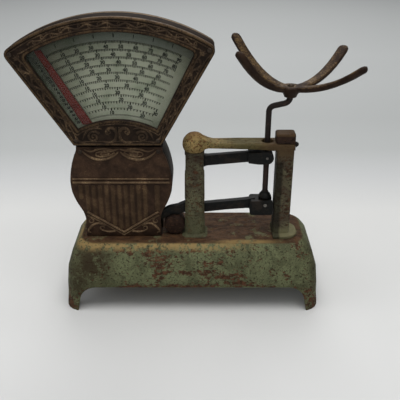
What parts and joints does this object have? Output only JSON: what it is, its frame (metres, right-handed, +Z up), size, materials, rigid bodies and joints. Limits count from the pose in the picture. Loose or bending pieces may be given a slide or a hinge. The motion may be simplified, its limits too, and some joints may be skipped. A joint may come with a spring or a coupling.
{
  "type": "counter scale",
  "caption": "Old counter scale: fan-shaped dial over an ornamented housing, cast base and posts, beam linkage and a stem with a curved-arm pan holder.",
  "frame": {"origin": "on the plane the feet stand on, below the middle of the outer box", "axes": "+X along the base from the dial to the pan holder, +Y from the front to the back, +Z up"},
  "size_m": [0.4757, 0.1575, 0.436],
  "materials": {
    "green_paint": "worn sage green paint on cast iron",
    "olive_paint": "worn olive and tan paint on cast iron",
    "rusty_iron": "bare iron with brown rust",
    "black_iron": "dark, half-matt iron",
    "dark_bronze": "dark bronze-brown coating, worn on the high spots",
    "bronze": "brown, worn to olive brass on the inner faces",
    "steel": "plain steel",
    "brass": "plain brass",
    "white_enamel": "aged white paint with printed figures",
    "glass": "clear, slightly grey"
  },
  "bodies": {
    "stand": {"base_casting": "green_paint", "middle_post": "green_paint", "top_frame": "olive_paint", "post_cap": "rusty_iron", "stop_plate": "black_iron", "movement_frame": "black_iron", "dashpot_lid": "black_iron", "post_bolt_front": "black_iron", "post_bolt_rear": "black_iron", "foot_bolt_front": "black_iron", "foot_bolt_rear": "black_iron", "housing_bolt_left": "black_iron", "housing_bolt_right": "black_iron", "frame_bolt": "black_iron", "housing_shell": "dark_bronze", "housing_front": "dark_bronze", "housing_back": "dark_bronze", "fan_case": "dark_bronze", "fan_bezel": "dark_bronze", "fan_back": "dark_bronze", "arm_screw": "steel", "side_screw": "steel", "fulcrum_bearing_front": "steel", "fulcrum_bearing_rear": "steel", "check_pivot_pin": "steel", "housing_screw_left": "steel", "housing_screw_right": "steel", "door_screw_left": "steel", "door_screw_right": "steel", "bezel_screw_top_left": "steel", "bezel_screw_top_right": "steel", "bezel_screw_foot_left": "steel", "bezel_screw_foot_right": "steel", "back_screw_left": "steel", "back_screw_right": "steel", "front_bushing": "brass", "rear_bushing": "brass", "dashpot_cylinder": "brass", "chart_plate": "white_enamel", "fan_glass": "glass"},
    "beam": {"main_beam": "black_iron", "fulcrum_knife": "steel", "load_pin": "steel", "counterweight": "rusty_iron", "counterweight_bolt": "steel", "link_pin": "steel"},
    "check_link": {"check_link": "black_iron", "stem_pin": "steel"},
    "pan_carrier": {"pan_stem": "black_iron", "stem_yoke": "black_iron", "pan_spider": "bronze", "spider_screw": "steel"},
    "pointer": {"indicator": "white_enamel", "indicator_shaft": "steel", "crank_arm": "brass", "pendulum_rod": "steel", "pendulum_bob": "brass"},
    "draw_link": {"draw_link": "brass"},
    "plunger": {"dashpot_rod": "steel", "dashpot_piston": "brass"}
  },
  "joints": [
    {"name": "beam_hinge", "type": "hinge", "parent": "stand", "child": "beam", "pos_m": [0.01522, -0.0125, 0.1495], "axis": [0, 1, 0], "range_deg": [0, 8]},
    {"name": "check_link_hinge", "type": "hinge", "parent": "stand", "child": "check_link", "pos_m": [0.01522, -0.0125, 0.2248], "axis": [0, 1, 0], "range_deg": [0, 8]},
    {"name": "stem_hinge", "type": "hinge", "parent": "beam", "child": "pan_carrier", "pos_m": [0.12092, -0.0125, 0.1586], "axis": [0, 1, 0], "range_deg": [-8, 0]},
    {"name": "pointer_hinge", "type": "hinge", "parent": "stand", "child": "pointer", "pos_m": [-0.09278, -0.0125, 0.18], "axis": [0, 1, 0], "range_deg": [0, 49]},
    {"name": "draw_link_hinge", "type": "hinge", "parent": "beam", "child": "draw_link", "pos_m": [-0.11378, -0.0125, 0.128], "axis": [0, 1, 0], "range_deg": [-7, 0]},
    {"name": "plunger_slide", "type": "slide", "parent": "stand", "child": "plunger", "axis": [0, 0, 1], "range_m": [0, 0.0183]}
  ],
  "couplings": [
    {"joint": "check_link_hinge", "follows": "beam_hinge", "ratio": 1},
    {"joint": "stem_hinge", "follows": "beam_hinge", "ratio": -1},
    {"joint": "pointer_hinge", "follows": "beam_hinge", "ratio": 6.125},
    {"joint": "draw_link_hinge", "follows": "beam_hinge", "ratio": -0.85},
    {"joint": "plunger_slide", "follows": "beam_hinge", "m_per_rad": 0.13}
  ]
}
